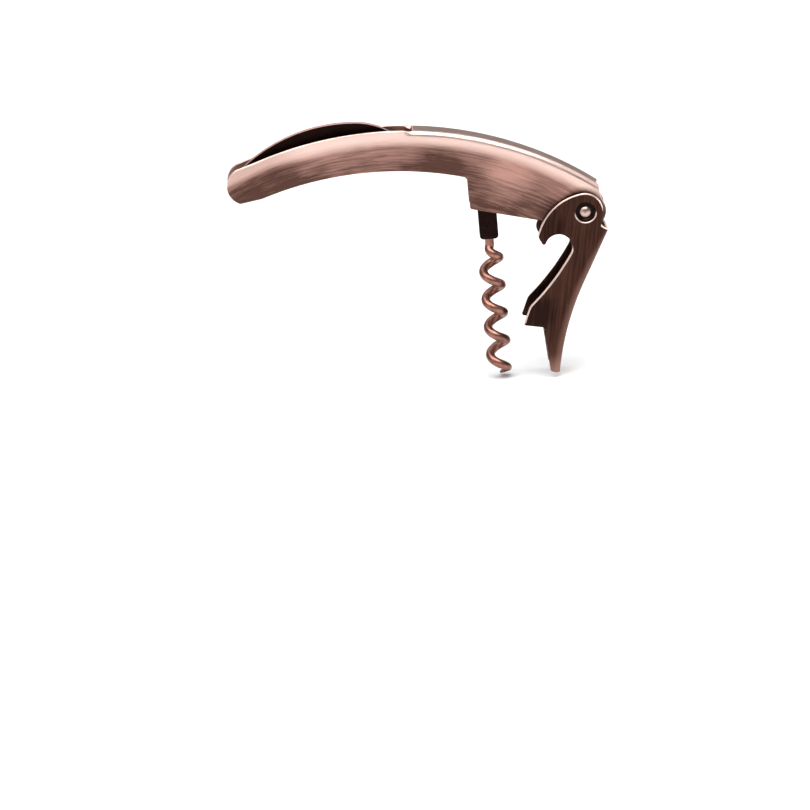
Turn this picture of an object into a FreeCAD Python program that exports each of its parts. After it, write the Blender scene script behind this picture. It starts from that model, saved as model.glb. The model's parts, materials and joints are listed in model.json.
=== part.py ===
import FreeCAD, Part
import math
import os

import Sketcher
from FreeCAD import Vector

# A waiter's-friend lever corkscrew in millimetres, standing ready to draw a cork.
# The worm hinge is the origin, +Z runs up the worm's axis, +X points to the lever hinge and
# -Y is the near side. Outlines are drawn in the XZ plane, seen from the near side.

doc = FreeCAD.newDocument("lever_corkscrew")

SIZES = {
    # pressed handle, a channel open below
    "handle_width": 9.6,
    "handle_gauge": 1.2,
    "handle_bend": 1.5,
    "arch_radius": 110.3,
    "arch_rise": 30.1,
    "arch_middle": -62.0,
    "belly_arch_radius": 105.0,
    "belly_arch_rise": 17.9,
    "belly_arch_middle": -64.5,
    "step_place": -34.65,
    "slot_end": -50.0,
    # hinges, from the lever hinge
    "lever_hinge_x": 29.5,
    "lever_hinge_drop": 7.3,
    "knife_hinge_x": -101.5,
    "knife_hinge_z": 17.1,
    "spring_pin_x": -46.0,
    "spring_pin_z": 22.6,
    # boot lever
    "lever_width": 12.9,
    "lever_gauge": 1.3,
    "lever_bend": 2.3,
    "tip_corner": 1.6,
    "tip_radius": 2.2,
    "tip_middle_x": -12.6,
    "tip_middle_z": -47.3,
    "ear_radius": 5.62,
    "ear_middle_x": -0.25,
    "ear_middle_z": 0.3,
    "ear_hole": 3.05,
    "mouth_radius": 4.1,
    # pivots
    "collar_radius": 3.0,
    "collar_length": 1.35,
    "collar_lip": 0.35,
    "rivet_radius": 1.5,
    "rivet_clearance": 0.04,
    "rivet_head": 1.75,
    "rivet_dome": 0.75,
    "small_pin": 1.25,
    "running_gap": 0.06,
    "bush_radius": 3.0,
    "washer_radius": 4.5,
    "washer_thickness": 0.2,
    "worm_washer_radius": 2.7,
    "side_play": 0.1,
    "pin_fit": 0.01,
    "spring_pin_radius": 1.0,
    # worm and its carrier
    "carrier_width": 5.7,
    "carrier_thickness": 4.8,
    "carrier_length": 14.0,
    "carrier_corner": 1.1,
    "wire_radius": 1.4,
    "seat_clearance": 0.08,
    "worm_radius": 4.0,
    "worm_pitch": 8.8,
    "worm_turns": 4.75,
    "worm_top": 3.68,
    "worm_start": 16.0,
    "worm_lead_in": 0.5,
    "worm_point": 0.18,
    "worm_point_turns": 0.45,
    "cross_pin_radius": 0.6,
    "cross_pin_drop": 9.5,
    # foil knife and back spring
    "blade_thickness": 1.5,
    "tang_radius": 4.2,
    "serration_pitch": 2.6,
    "serration_depth": 0.55,
    "spacer_radius": 3.4,
    "spring_gauge": 1.0,
    "spring_width": 6.6,
}

sheet = doc.addObject("Spreadsheet::Sheet", "Sizes")
for row, (alias, value) in enumerate(SIZES.items(), start=1):
    sheet.set(f"A{row}", alias)
    sheet.set(f"B{row}", str(value))
    sheet.setAlias(f"B{row}", alias)
doc.recompute()


def size(alias):
    return float(getattr(sheet, alias))


def cell(expression):
    """The expression with each size's alias pointed at the sheet."""
    words = [f"Sizes.{word}" if word in SIZES else word for word in expression.split(" ")]
    return " ".join(words)


def bind(thing, prop, expression):
    thing.setExpression(prop, cell(expression))


def new_body(name, x="0", z="0"):
    """A body whose own origin stands at x, z of the part's frame."""
    made = doc.addObject("PartDesign::Body", name)
    made.Label = name
    bind(made, "Placement.Base.x", x)
    bind(made, "Placement.Base.z", z)
    return made


def at_lever_hinge(name):
    return new_body(name, "lever_hinge_x", "0 - lever_hinge_drop")


def at_knife_hinge(name):
    return new_body(name, "lever_hinge_x + knife_hinge_x", "knife_hinge_z - lever_hinge_drop")


def new_sketch(owner, name, role="XZ_Plane"):
    made = owner.newObject("Sketcher::SketchObject", name)
    plane = next(o for o in owner.Origin.OriginFeatures if o.Role == role)
    made.AttachmentSupport = [(plane, "")]
    made.MapMode = "FlatFace"
    return made


def draw(sketch, start, steps):
    """A closed outline: a step (x, z) is a straight, and (via, end) is an arc through via."""
    here = Vector(*start, 0)
    for step in steps:
        if isinstance(step[0], tuple):
            there = Vector(*step[1], 0)
            sketch.addGeometry(Part.Arc(here, Vector(*step[0], 0), there), False)
        else:
            there = Vector(*step, 0)
            sketch.addGeometry(Part.LineSegment(here, there), False)
        here = there
    if (here - Vector(*start, 0)).Length > 1e-6:
        sketch.addGeometry(Part.LineSegment(here, Vector(*start, 0)), False)


def add_circle(sketch, radius, x="0", z="0"):
    """A circle whose radius and centre are bound to the sheet."""
    index = sketch.addGeometry(Part.Circle(Vector(1, 1, 0), Vector(0, 0, 1), 1), False)
    middle = (index, 3)
    for kind, expression in (("X", x), ("Y", z)):
        rule = Sketcher.Constraint("Distance" + kind, -1, 1, *middle, 1.0)
        place = sketch.addConstraint(rule)
        bind(sketch, f"Constraints[{place}]", expression)
    place = sketch.addConstraint(Sketcher.Constraint("Radius", index, 1.0))
    bind(sketch, f"Constraints[{place}]", radius)


def pad(owner, name, sketch, length):
    made = owner.newObject("PartDesign::Pad", name)
    made.Profile = sketch
    made.SideType = "Symmetric"
    bind(made, "Length", length)
    doc.recompute()
    return made


def pocket(owner, name, sketch, length):
    """A cut both ways from the middle plane, which must take something away."""
    before = owner.Shape.Volume
    made = owner.newObject("PartDesign::Pocket", name)
    made.Profile = sketch
    made.SideType = "Symmetric"
    bind(made, "Length", length)
    doc.recompute()
    if owner.Shape.Volume > before - 1e-3:
        raise RuntimeError(f"{owner.Label}: {name} cut nothing")
    return made


def edges_where(shape, test):
    return [f"Edge{n}" for n, edge in enumerate(shape.Edges, start=1) if test(edge)]


def side_rim(edge, half_width):
    """True of an edge that lies in one of the body's two outer side faces."""
    box = edge.BoundBox
    return min(abs(box.YMin), abs(box.YMax)) > half_width - 1e-4


def is_sharp(shape, edge):
    """True where the two faces beside the edge meet at more than a slight angle."""
    middle = edge.valueAt((edge.FirstParameter + edge.LastParameter) / 2)
    normals = [f.normalAt(*f.Surface.parameter(middle)) for f in shape.ancestorsOfType(edge, Part.Face)]
    return len(normals) == 2 and normals[0].getAngle(normals[1]) > math.radians(15)


def round_edges(owner, name, test, radius):
    base = owner.Tip
    names = edges_where(base.Shape, lambda edge: test(edge) and is_sharp(base.Shape, edge))
    if not names:
        raise RuntimeError(f"{owner.Label}: {name} found no edges")
    made = owner.newObject("PartDesign::Fillet", name)
    made.Base = (base, names)
    bind(made, "Radius", radius)
    doc.recompute()
    if "Invalid" in made.State or made.Shape.isNull():
        raise RuntimeError(f"{owner.Label}: {name} failed")
    return made


def turned(owner, name, steps, start):
    """A revolved solid about the Y axis: the outline is drawn as radius (X) and height (Y)."""
    sketch = new_sketch(owner, name + "_outline", "XY_Plane")
    draw(sketch, start, steps)
    made = owner.newObject("PartDesign::Revolution", name)
    made.Profile = sketch
    made.ReferenceAxis = (sketch, ["V_Axis"])
    made.Angle = 360
    doc.recompute()
    return made


def ring(owner, name, outer, inner, near, far):
    """A washer or sleeve about the Y axis between two heights on it."""
    return turned(owner, name, [(outer, near), (outer, far), (inner, far)], (inner, near))


def arch(x, radius, rise, middle):
    return rise - radius + math.sqrt(radius**2 - (x - middle) ** 2)


def top_arch(x, inset=0.0):
    return arch(x, size("arch_radius") - inset, size("arch_rise") - inset, size("arch_middle"))


def under_arch(x):
    return arch(x, size("belly_arch_radius"), size("belly_arch_rise"), size("belly_arch_middle"))


def on_circle(radius, degrees, x=0.0, z=0.0):
    turn = math.radians(degrees)
    return (x + radius * math.cos(turn), z + radius * math.sin(turn))


# ---------------------------------------------------------------- handle

HEEL_RADIUS = 5.45
HEEL_X = 0.95
BELLY_SLOPE = -14.9
TAIL_RADIUS = 5.7
TOP_CORNER = 3.9


def build_handle():
    """A sheet folded over the back, with a shallow tail, a deep belly and a round heel."""
    made = at_lever_hinge("handle_channel")
    step = size("step_place")
    tail_x = size("knife_hinge_x")
    tail_z = size("knife_hinge_z")
    belly_end = on_circle(HEEL_RADIUS, BELLY_SLOPE - 90, HEEL_X)
    belly_drop = math.tan(math.radians(BELLY_SLOPE))
    step_x = step + 0.7
    step_z = belly_end[1] + (step_x - belly_end[0]) * belly_drop
    slot_end = size("slot_end")
    front = new_sketch(made, "front_side")
    draw(
        front,
        (TOP_CORNER, top_arch(TOP_CORNER)),
        [
            ((4.65, 7.85), (4.95, 6.9)),
            ((5.0, 5.0), on_circle(HEEL_RADIUS, 28, HEEL_X)),
            (on_circle(HEEL_RADIUS, -35, HEEL_X), belly_end),
            (step_x, step_z),
            ((step + 0.15, step_z + 0.3), (step, step_z + 0.9)),
            (step, under_arch(step) - 1.2),
            ((step - 0.3, under_arch(step) - 0.35), (step - 1.1, under_arch(step - 1.1))),
            ((-44.0, under_arch(-44.0)), (slot_end, under_arch(slot_end))),
            (slot_end, top_arch(slot_end)),
            ((-25.0, top_arch(-25.0)), (TOP_CORNER, top_arch(TOP_CORNER))),
        ],
    )
    pad(made, "front_block", front, "handle_width")
    half = size("handle_width") / 2

    def over_the_back(edge):
        middle = edge.valueAt((edge.FirstParameter + edge.LastParameter) / 2)
        return side_rim(edge, half) and abs(middle.z - top_arch(middle.x)) < 0.01 and middle.x < 0

    round_edges(made, "back_bend", over_the_back, "handle_bend")

    tail = new_sketch(made, "tail_side")
    tail_top = on_circle(TAIL_RADIUS, 112, tail_x, tail_z)
    tail_under = on_circle(TAIL_RADIUS, -112, tail_x, tail_z)
    draw(
        tail,
        (slot_end, under_arch(slot_end)),
        [
            ((-74.0, under_arch(-74.0)), (-97.0, under_arch(-97.0))),
            tail_under,
            (on_circle(TAIL_RADIUS, 180, tail_x, tail_z), tail_top),
            (-98.0, top_arch(-98.0)),
            ((-74.0, top_arch(-74.0)), (slot_end, top_arch(slot_end))),
        ],
    )
    pad(made, "tail_block", tail, "handle_width")

    gauge = size("handle_gauge")
    hollow = new_sketch(made, "handle_hollow")
    far_left = -120.0
    draw(
        hollow,
        (20.0, top_arch(20.0, gauge)),
        [
            (20.0, -20.0),
            (far_left, -20.0),
            (far_left, top_arch(far_left, gauge)),
            ((-45.0, top_arch(-45.0, gauge)), (20.0, top_arch(20.0, gauge))),
        ],
    )
    pocket(made, "handle_channel_cut", hollow, "handle_width - 2 * handle_gauge")

    slot = new_sketch(made, "knife_slot")
    draw(slot, (slot_end, 10.0), [(slot_end, 45.0), (far_left, 45.0), (far_left, 10.0)])
    pocket(made, "knife_slot_cut", slot, "handle_width - 2 * handle_gauge")

    holes = new_sketch(made, "handle_holes")
    add_circle(holes, "rivet_radius + rivet_clearance")
    add_circle(holes, "small_pin + pin_fit", "0 - lever_hinge_x", "lever_hinge_drop")
    add_circle(holes, "small_pin + pin_fit", "knife_hinge_x", "knife_hinge_z")
    add_circle(holes, "spring_pin_radius + pin_fit", "spring_pin_x", "spring_pin_z")
    pocket(made, "handle_holes_cut", holes, "handle_width * 2")
    return made


# ---------------------------------------------------------------- boot lever

WEB_TOP = (6.75, -6.2)
WEB_BEND_START = (-1.9, -22.3)
WEB_END = (-11.4, -50.2)
MOUTH = (-8.9, -10.2)


def web_line(inset):
    """The lever's back from its top down to the tongue, moved in by inset: top, start, via, end."""
    top, start, end = (Vector(*point, 0) for point in (WEB_TOP, WEB_BEND_START, WEB_END))
    down = (start - top).normalize()
    inward = Vector(down.y, -down.x, 0)
    chord = end - start
    radius = chord.Length**2 / (-2 * inward.dot(chord))
    middle = start - inward * radius
    last = (end - middle).normalize()
    halfway = (inward + last).normalize()
    line = [top + inward * inset]
    line += [middle + turn * (radius + inset) for turn in (inward, halfway, last)]
    return [(point.x, point.y) for point in line]


def build_lever():
    """A folded sheet with two ears, a crown-cap claw, a boot for the bottle's lip and a tongue."""
    made = at_lever_hinge("boot_lever")
    mouth = size("mouth_radius")
    top, start, via, end = web_line(0.0)

    def ear_point(degrees):
        return on_circle(size("ear_radius"), degrees, size("ear_middle_x"), size("ear_middle_z"))

    side = new_sketch(made, "lever_side")
    draw(
        side,
        top,
        [
            start,
            (via, end),
            (-14.12, end[1]),
            (-15.25, -35.5),
            ((-15.4, -35.0), (-15.9, -34.8)),
            (-20.35, -33.85),
            ((-21.05, -33.5), (-21.05, -32.8)),
            (-19.3, -28.75),
            ((-18.8, -27.9), (-18.0, -27.1)),
            ((-11.4, -20.4), (-5.5, -12.6)),
            ((-4.95, -11.6), on_circle(mouth, -5, *MOUTH)),
            (on_circle(mouth, 90, *MOUTH), on_circle(mouth, 158, *MOUTH)),
            ((-13.3, -8.95), (-13.95, -8.15)),
            ((-14.7, -6.6), (-14.3, -4.4)),
            ((-8.38, 3.07), ear_point(100)),
            (ear_point(40), ear_point(-20)),
            (4.7, -4.6),
        ],
    )
    pad(made, "lever_block", side, "lever_width")

    half = size("lever_width") / 2
    line_middle = ((start[0] + top[0]) / 2, (start[1] + top[1]) / 2)

    def back_edge(edge):
        point = edge.valueAt((edge.FirstParameter + edge.LastParameter) / 2)
        flat = Vector(point.x, 0, point.z)
        near_line = any((flat - Vector(x, 0, z)).Length < 0.6 for x, z in (line_middle, via))
        return side_rim(edge, half) and near_line

    round_edges(made, "back_bend", back_edge, "lever_bend")

    gauge = size("lever_gauge")
    top_in, start_in, via_in, end_in = web_line(gauge)
    hollow = new_sketch(made, "lever_hollow")
    above = (1.5 * top_in[0] - 0.5 * start_in[0], 1.5 * top_in[1] - 0.5 * start_in[1])
    draw(
        hollow,
        above,
        [
            start_in,
            (via_in, end_in),
            (-13.6, -60.0),
            (-40.0, -60.0),
            (-40.0, 20.0),
            (above[0], 20.0),
        ],
    )
    pocket(made, "lever_channel_cut", hollow, "lever_width - 2 * lever_gauge")

    eye = new_sketch(made, "ear_eye")
    add_circle(eye, "ear_hole")
    pocket(made, "ear_eye_cut", eye, "lever_width * 2")

    tip = (size("tip_radius"), size("tip_middle_x"), size("tip_middle_z"))
    low = tip[2] - tip[0]
    round_end = new_sketch(made, "tip_round")
    right, left = on_circle(tip[0], -15, *tip[1:]), on_circle(tip[0], 195, *tip[1:])
    aside = 2.0
    draw(
        round_end,
        right,
        [
            ((tip[1], low), left),
            (left[0] - aside, left[1]),
            (left[0] - aside, low - aside),
            (right[0] + aside, low - aside),
            (right[0] + aside, right[1]),
        ],
    )
    pocket(made, "tip_round_cut", round_end, "lever_width * 4")

    corners = new_sketch(made, "tip_corners", "YZ_Plane")
    corner = size("tip_corner")
    turn = on_circle(corner, -45, half - corner, low + corner)
    for sign in (-1, 1):
        inner = (sign * (half - corner), low)
        outer = (sign * half, low + corner)
        draw(
            corners,
            inner,
            [
                ((sign * turn[0], turn[1]), outer),
                (sign * (half + 1), outer[1]),
                (sign * (half + 1), low - 1),
                (inner[0], low - 1),
            ],
        )
    pocket(made, "tip_corners_cut", corners, "lever_width * 4")
    return made


# ---------------------------------------------------------------- pivots

def build_rivet(made, shank, half_length, head=0.0, dome=0.0):
    """A headed or flush pin along Y; a head is a shallow dome at each end."""
    if not head:
        outline = [(shank, -half_length), (shank, half_length), (0, half_length)]
        turned(made, made.Label + "_turned", outline, (0, -half_length))
        return made
    ball = (head**2 + dome**2) / (2 * dome)
    shoulder = half_length + dome - ball + math.sqrt(ball**2 - (head / 2) ** 2)
    outline = [
        ((head / 2, -shoulder), (head, -half_length)),
        (shank, -half_length),
        (shank, half_length),
        (head, half_length),
        ((head / 2, shoulder), (0, half_length + dome)),
    ]
    turned(made, made.Label + "_turned", outline, (0, -half_length - dome))
    return made


def build_pivots():
    """Rivets, bush, collars, washers and spacers, all fixed in the handle."""
    wall = size("handle_width") / 2
    inside = wall - size("handle_gauge")
    lip = size("collar_lip")
    seat = wall + size("collar_length") - lip
    build_rivet(at_lever_hinge("lever_rivet"), size("rivet_radius"), seat, size("rivet_head"),
                size("rivet_dome"))
    bore = size("rivet_radius") + size("rivet_clearance")
    ring(at_lever_hinge("lever_bush"), "bush", size("bush_radius"), bore, -inside, inside)
    for name, sign in (("near", -1), ("far", 1)):
        collar = at_lever_hinge("pivot_collar_" + name)
        radius = size("collar_radius")
        outline = [
            (radius, sign * wall),
            (radius, sign * (seat + lip)),
            (radius - 0.55, sign * (seat + lip)),
            (radius - 0.95, sign * seat),
            (bore, sign * seat),
        ]
        turned(collar, "collar_" + name, outline, (bore, sign * wall))
        washer = at_lever_hinge("lever_washer_" + name)
        ring(washer, "washer_" + name, size("washer_radius"), radius + 0.1, sign * wall,
             sign * (wall + size("washer_thickness")))

    pin = size("small_pin")
    build_rivet(new_body("worm_rivet"), pin, wall)
    build_rivet(at_knife_hinge("knife_rivet"), pin, wall)
    spring_pin = new_body("spring_pin", "lever_hinge_x + spring_pin_x", "spring_pin_z - lever_hinge_drop")
    build_rivet(spring_pin, size("spring_pin_radius"), wall)
    hole = pin + size("running_gap")
    carrier_side = size("carrier_thickness") / 2 + size("side_play")
    blade_side = size("blade_thickness") / 2 + size("side_play")
    for name, sign in (("near", -1), ("far", 1)):
        washer = new_body("worm_washer_" + name)
        ring(washer, "worm_ring_" + name, size("worm_washer_radius"), hole,
             sign * carrier_side, sign * inside)
        spacer = at_knife_hinge("knife_spacer_" + name)
        ring(spacer, "spacer_" + name, size("spacer_radius"), hole, sign * blade_side, sign * inside)


# ---------------------------------------------------------------- worm

def build_carrier():
    """A strip folded over the worm hinge, its two plates gripping the worm's straight end."""
    made = new_body("worm_carrier")
    half = size("carrier_width") / 2
    low = -size("carrier_length")
    side = new_sketch(made, "carrier_side")
    corner = size("carrier_corner")
    cut = corner * (1 - math.sqrt(0.5))
    draw(
        side,
        (half, 0.0),
        [
            ((0.0, half), (-half, 0.0)),
            (-half, low + corner),
            ((-half + cut, low + cut), (-half + corner, low)),
            (half - corner, low),
            ((half - cut, low + cut), (half, low + corner)),
        ],
    )
    pad(made, "carrier_block", side, "carrier_thickness")
    seat = new_sketch(made, "wire_seat", "XY_Plane")
    add_circle(seat, "wire_radius + seat_clearance")
    bore = made.newObject("PartDesign::Pocket", "wire_seat_cut")
    bore.Profile = seat
    bore.SideType = "Symmetric"
    bind(bore, "Length", "carrier_length * 4")
    doc.recompute()
    eye = new_sketch(made, "carrier_eye")
    add_circle(eye, "small_pin + running_gap")
    add_circle(eye, "cross_pin_radius", "0", "0 - cross_pin_drop")
    pocket(made, "carrier_eye_cut", eye, "carrier_thickness * 2")
    return made


def worm_curve(first, last):
    """The wire's middle line between two turn counts: down the Z axis to zero, then coiled."""
    coil = size("worm_radius") - size("wire_radius")
    steps = int((last - first) * 16)
    points = []
    for step in range(steps + 1):
        turn = first + (last - first) * step / steps
        spread = min(max(turn / size("worm_lead_in"), 0.0), 1.0)
        radius = coil * spread * spread * (3 - 2 * spread)
        x, y = on_circle(radius, 360 * turn + 180)
        points.append(Vector(x, y, -size("worm_start") - turn * size("worm_pitch")))
    curve = Part.BSplineCurve()
    curve.interpolate(points)
    return curve


def build_worm():
    """A steel wire, straight in its carrier, then coiled, then drawn out to a point."""
    wire = size("wire_radius")
    last = size("worm_turns")
    first = (size("worm_top") - size("worm_start")) / size("worm_pitch")
    curve = worm_curve(first, last)
    slices = int((last - first) * 9)
    sections = []
    for step in range(slices + 1):
        share = step / slices
        turns_left = (last - first) * (1 - share)
        drawn = min(turns_left / size("worm_point_turns"), 1.0)
        radius = size("worm_point") + (wire - size("worm_point")) * math.sqrt(drawn)
        at = curve.FirstParameter + (curve.LastParameter - curve.FirstParameter) * share
        ring_edge = Part.Circle(curve.value(at), Vector(*curve.tangent(at)[0]), radius).toShape()
        sections.append(Part.Wire([ring_edge]))
    wound = Part.makeLoft(sections, True, False)
    expected = math.pi * wire**2 * curve.length()
    if not 0.93 < wound.Volume / expected < 1.0:
        raise RuntimeError(f"the worm holds {wound.Volume:.0f} mm3 of {expected:.0f}")
    across = size("carrier_thickness")
    hole_start = Vector(0, -across, -size("cross_pin_drop"))
    hole = Part.makeCylinder(size("cross_pin_radius"), 2 * across, hole_start, Vector(0, 1, 0))
    made = doc.addObject("Part::Feature", "worm")
    made.Label = "worm"
    made.Shape = wound.cut(hole)
    return made


# ---------------------------------------------------------------- knife and its spring

def build_knife():
    """A serrated foil knife folded into the handle's slot, drawn about its own hinge."""
    made = at_knife_hinge("knife_blade")
    tang = size("tang_radius")
    pitch = size("serration_pitch")
    depth = size("serration_depth")
    edge_left = 12.5
    teeth = 12
    outline = [
        ((15.5, 13.6), (35.0, 15.6)),
        ((41.82, 13.69), (47.6, 9.6)),
        ((48.2, 8.3), (47.0, 7.5)),
        (edge_left + teeth * pitch, 5.9),
    ]
    for tooth in reversed(range(teeth)):
        left = edge_left + tooth * pitch
        low = 4.5 + 1.4 * (tooth / teeth)
        outline.append(((left + pitch / 2, low + depth), (left, low)))
    outline += [
        (9.5, 4.6),
        (tang * 0.98, 1.4),
        ((tang * 0.35, -tang * 0.937), on_circle(tang, 180)),
        (on_circle(tang, 150), on_circle(tang, 118)),
    ]
    side = new_sketch(made, "blade_side")
    draw(side, on_circle(tang, 118), outline)
    pad(made, "blade_plate", side, "blade_thickness")
    eye = new_sketch(made, "tang_eye")
    add_circle(eye, "small_pin + running_gap")
    pocket(made, "tang_eye_cut", eye, "blade_thickness * 2")
    return made


def build_spring():
    """A leaf that follows the handle's arch from its eye to the knife's tang."""
    made = at_lever_hinge("back_spring")
    gauge = size("spring_gauge")
    eye_x = size("spring_pin_x")
    eye_z = size("spring_pin_z")
    eye = size("spring_pin_radius") + gauge
    tip = -96.2
    lift = 0.55
    side = new_sketch(made, "spring_side")

    def under(x, inset):
        return under_arch(x) + lift + inset

    draw(
        side,
        on_circle(eye, 150, eye_x, eye_z),
        [
            (on_circle(eye, 20, eye_x, eye_z), on_circle(eye, -110, eye_x, eye_z)),
            (-52.0, under(-52.0, 0.0)),
            ((-74.0, under(-74.0, 0.0)), (tip, under(tip, 0.0))),
            (tip, under(tip, gauge)),
            ((-74.0, under(-74.0, gauge)), (-52.0, under(-52.0, gauge))),
        ],
    )
    pad(made, "spring_leaf", side, "spring_width")
    eye_hole = new_sketch(made, "spring_eye")
    add_circle(eye_hole, "spring_pin_radius + pin_fit", "spring_pin_x", "spring_pin_z")
    pocket(made, "spring_eye_cut", eye_hole, "spring_width * 2")
    return made


build_handle()
build_lever()
build_pivots()
build_carrier()
build_worm()
cross_pin = new_body("worm_cross_pin", "0", "0 - cross_pin_drop")
build_rivet(cross_pin, size("cross_pin_radius"), size("carrier_thickness") / 2)
build_knife()
build_spring()
doc.recompute()

os.makedirs("parts", exist_ok=True)
pieces = [o for o in doc.Objects if o.TypeId in ("PartDesign::Body", "Part::Feature")]
for thing in doc.Objects:
    if "Invalid" in thing.State or "Error" in thing.State:
        raise RuntimeError(f"{thing.Label} is {thing.State}")
for piece in pieces:
    if piece.Shape.isNull() or not piece.Shape.isValid():
        raise RuntimeError(f"{piece.Label} has no valid shape")
for piece in pieces:
    piece.Shape.exportStep(f"parts/{piece.Label}.step")
    print(f"{piece.Label}: {piece.Shape.Volume:.1f} mm3, {len(piece.Shape.Solids)} solid")
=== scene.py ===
import json
import math

import bmesh
import bpy
import numpy as np
from mathutils import Matrix, Vector
from mathutils.geometry import delaunay_2d_cdt
from mathutils.kdtree import KDTree


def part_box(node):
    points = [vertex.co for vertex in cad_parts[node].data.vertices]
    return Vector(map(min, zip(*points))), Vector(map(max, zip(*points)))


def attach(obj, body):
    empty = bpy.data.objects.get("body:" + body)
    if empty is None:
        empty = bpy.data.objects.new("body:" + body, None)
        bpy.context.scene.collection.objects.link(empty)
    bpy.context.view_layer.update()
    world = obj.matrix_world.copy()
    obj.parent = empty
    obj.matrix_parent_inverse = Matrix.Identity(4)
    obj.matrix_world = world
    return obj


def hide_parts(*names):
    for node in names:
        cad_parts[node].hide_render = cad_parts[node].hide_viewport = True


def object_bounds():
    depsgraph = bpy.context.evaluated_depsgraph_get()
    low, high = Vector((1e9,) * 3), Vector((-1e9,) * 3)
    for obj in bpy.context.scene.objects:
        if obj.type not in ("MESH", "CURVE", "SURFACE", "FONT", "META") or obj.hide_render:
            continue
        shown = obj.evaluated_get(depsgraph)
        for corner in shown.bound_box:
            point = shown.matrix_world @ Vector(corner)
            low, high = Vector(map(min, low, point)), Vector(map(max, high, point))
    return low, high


bl_info = {
    "name": "Lever corkscrew",
    "version": (1, 0, 0),
    "blender": (4, 5, 0),
    "location": "View3D > Sidebar > Corkscrew",
    "description": "Finishes a waiter's-friend corkscrew in antique copper round its packed frame",
    "category": "Object",
}

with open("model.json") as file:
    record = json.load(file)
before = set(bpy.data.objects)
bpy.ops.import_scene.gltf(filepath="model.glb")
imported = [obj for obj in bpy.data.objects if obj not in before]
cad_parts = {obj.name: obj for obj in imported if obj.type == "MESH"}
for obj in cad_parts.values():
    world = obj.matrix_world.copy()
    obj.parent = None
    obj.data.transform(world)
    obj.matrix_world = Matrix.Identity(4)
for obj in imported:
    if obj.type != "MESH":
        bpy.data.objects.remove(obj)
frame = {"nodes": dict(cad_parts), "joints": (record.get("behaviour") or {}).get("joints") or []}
cad_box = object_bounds()

MM = 0.001

# How finely the meshes are cut; lengths are in millimetres unless they say otherwise.
CAD_WELD = 0.001 * MM
FLAT_ANGLE = math.radians(0.4)
SHARP_ANGLE = math.radians(28)
SMOOTH_ANGLE = math.radians(45)
ARC_STEP = math.radians(9)
OUTLINE_STEP = 0.7
RIM_SPACING = 0.1
RIM_STEPS = 3
RIM_PROBE = 0.05
RIM_MARGINS = (0.5, 1.0)
BEND_ROWS = 8
FLAT_ROWS = 3
WALL_ROW = 1.0

# How bright the rims are made: by the way they face, a painted highlight on rims that face up, on the inner
# half, and on a flush pin's rim.
LIT_FACING = (-0.25, 0.45)
UNLIT_RIM_WEAR = 0.10
INNER_RIM_WEAR = 0.3
NO_WEAR = 1e-6 * MM
FLUSH_EDGE = 0.02

# The sheets' gauges and bends, and the details of the slot and the knife's ground edge.
HANDLE_GAUGE, HANDLE_BEND = 1.2, 1.5
LEVER_GAUGE, LEVER_BEND = 1.3, 2.3
KNIFE_GAUGE = 1.5
OPENING_BLEND = 3.0
SLOT_CORNER = 1.2
GRIND_HEIGHT = 2.4
EDGE_SHARE = 0.25

# The arc of the handle's back: its radius, and its crown's height and place from the lever hinge.
ARCH_RADIUS, ARCH_RISE, ARCH_MIDDLE = 110.3, 30.1, -62.0

# Where a colour mixing node keeps its two colours and its result.
COLOUR_A, COLOUR_B, COLOUR_RESULT = 6, 7, 2


# ---------------------------------------------------------------- sizes and colours

def length(label, about, default, low=0.0, high=1.0):
    """A size that a user can change, in metres."""
    return bpy.props.FloatProperty(
        name=label, description=about, default=default, min=low, max=high, unit="LENGTH", precision=5
    )


def colour(label, about, default):
    """A colour that a user can change."""
    return bpy.props.FloatVectorProperty(
        name=label, description=about, default=default, size=4, min=0.0, max=1.0, subtype="COLOR"
    )


class CorkscrewEdges(bpy.types.PropertyGroup):
    sheet: length("Sheet edge", "Rounding of the handle's and lever's blanked rims", 0.26 * MM)
    strip: length("Strip edge", "Rounding of the worm carrier's rims", 0.3 * MM)
    blade: length("Blade edge", "Rounding of the knife's and spring's rims", 0.14 * MM)
    small: length("Pin edge", "Rounding of pins, collars and washers", 0.1 * MM)
    wear: length("Wear width", "How far from a rim the patina is rubbed off", 0.2 * MM)


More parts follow.
